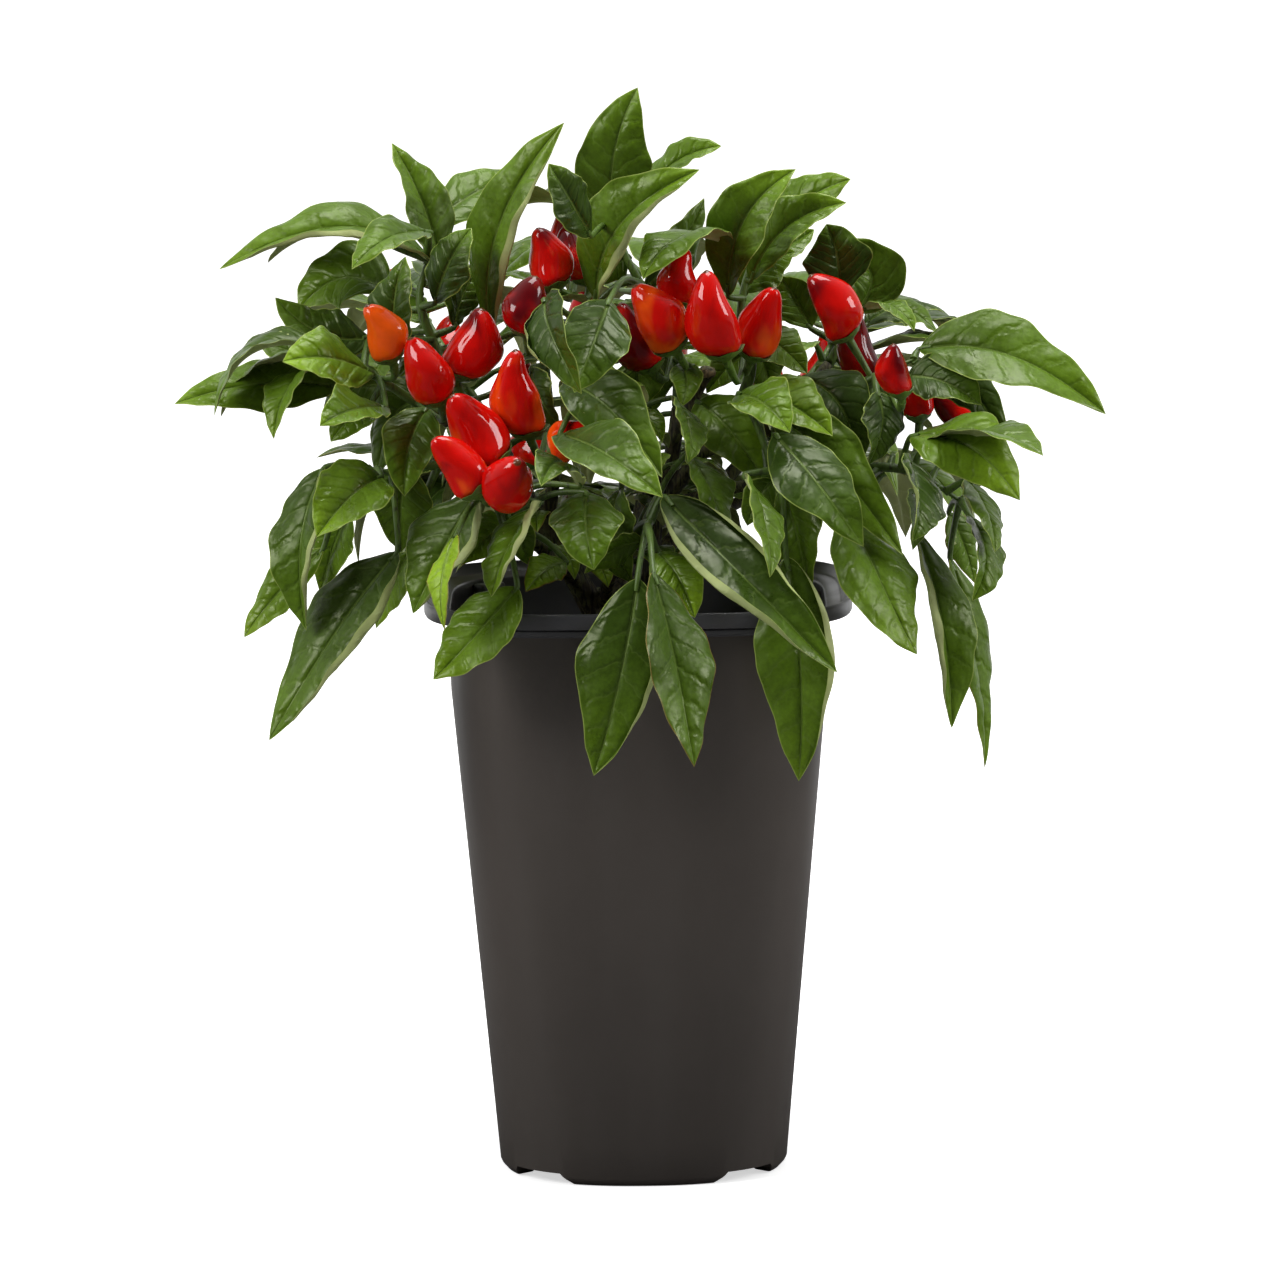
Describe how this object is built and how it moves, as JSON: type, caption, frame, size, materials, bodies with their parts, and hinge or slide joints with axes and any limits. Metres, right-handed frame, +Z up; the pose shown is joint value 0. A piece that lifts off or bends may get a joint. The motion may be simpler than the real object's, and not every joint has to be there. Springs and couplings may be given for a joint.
{
  "type": "potted chilli pepper plant",
  "caption": "Bushy chilli pepper plant with upright ripe red fruits and drooping pointed leaves, standing in a tall dark plastic nursery pot with a rounded-square rim.",
  "frame": {"origin": "under the middle of the pot, on the surface that the pot stands on", "axes": "+Z up, -Y towards the side where most fruits show, +X to the right of that side"},
  "size_m": [0.3673, 0.296, 0.4336],
  "materials": {
    "pot": "satin",
    "soil": "matte",
    "bark": "matte",
    "leaf": "satin",
    "fruit": "gloss"
  },
  "bodies": {
    "root": {"pot": "pot", "soil": "soil", "stems": "bark", "shoot_left_top": "leaf", "shoot_left_out": "leaf", "shoot_left_low": "leaf", "shoot_left_back": "leaf", "shoot_centre_left": "leaf", "shoot_front_left": "leaf", "shoot_middle": "leaf", "shoot_front_high": "leaf", "shoot_front_low": "leaf", "shoot_right": "leaf", "shoot_right_out": "leaf", "shoot_right_top": "leaf", "shoot_right_far": "leaf", "shoot_right_low": "leaf", "shoot_back": "leaf", "shoot_back_low": "leaf", "shoot_back_low_left": "leaf", "shoot_right_back": "leaf", "shoot_back_low_right": "leaf", "fruit_01": "fruit", "fruit_02": "fruit", "fruit_03": "fruit", "fruit_04": "fruit", "fruit_05": "fruit", "fruit_06": "fruit", "fruit_07": "fruit", "fruit_08": "fruit", "fruit_09": "fruit", "fruit_10": "fruit", "fruit_11": "fruit", "fruit_12": "fruit", "fruit_13": "fruit", "fruit_14": "fruit", "fruit_15": "fruit", "fruit_16": "fruit", "fruit_17": "fruit", "fruit_18": "fruit", "fruit_19": "fruit", "fruit_20": "fruit", "fruit_21": "fruit", "fruit_22": "fruit", "fruit_23": "fruit", "fruit_24": "fruit", "fruit_25": "fruit", "fruit_26": "fruit", "fruit_27": "fruit", "fruit_28": "fruit", "fruit_29": "fruit", "fruit_30": "fruit", "fruit_31": "fruit"}
  },
  "joints": []
}
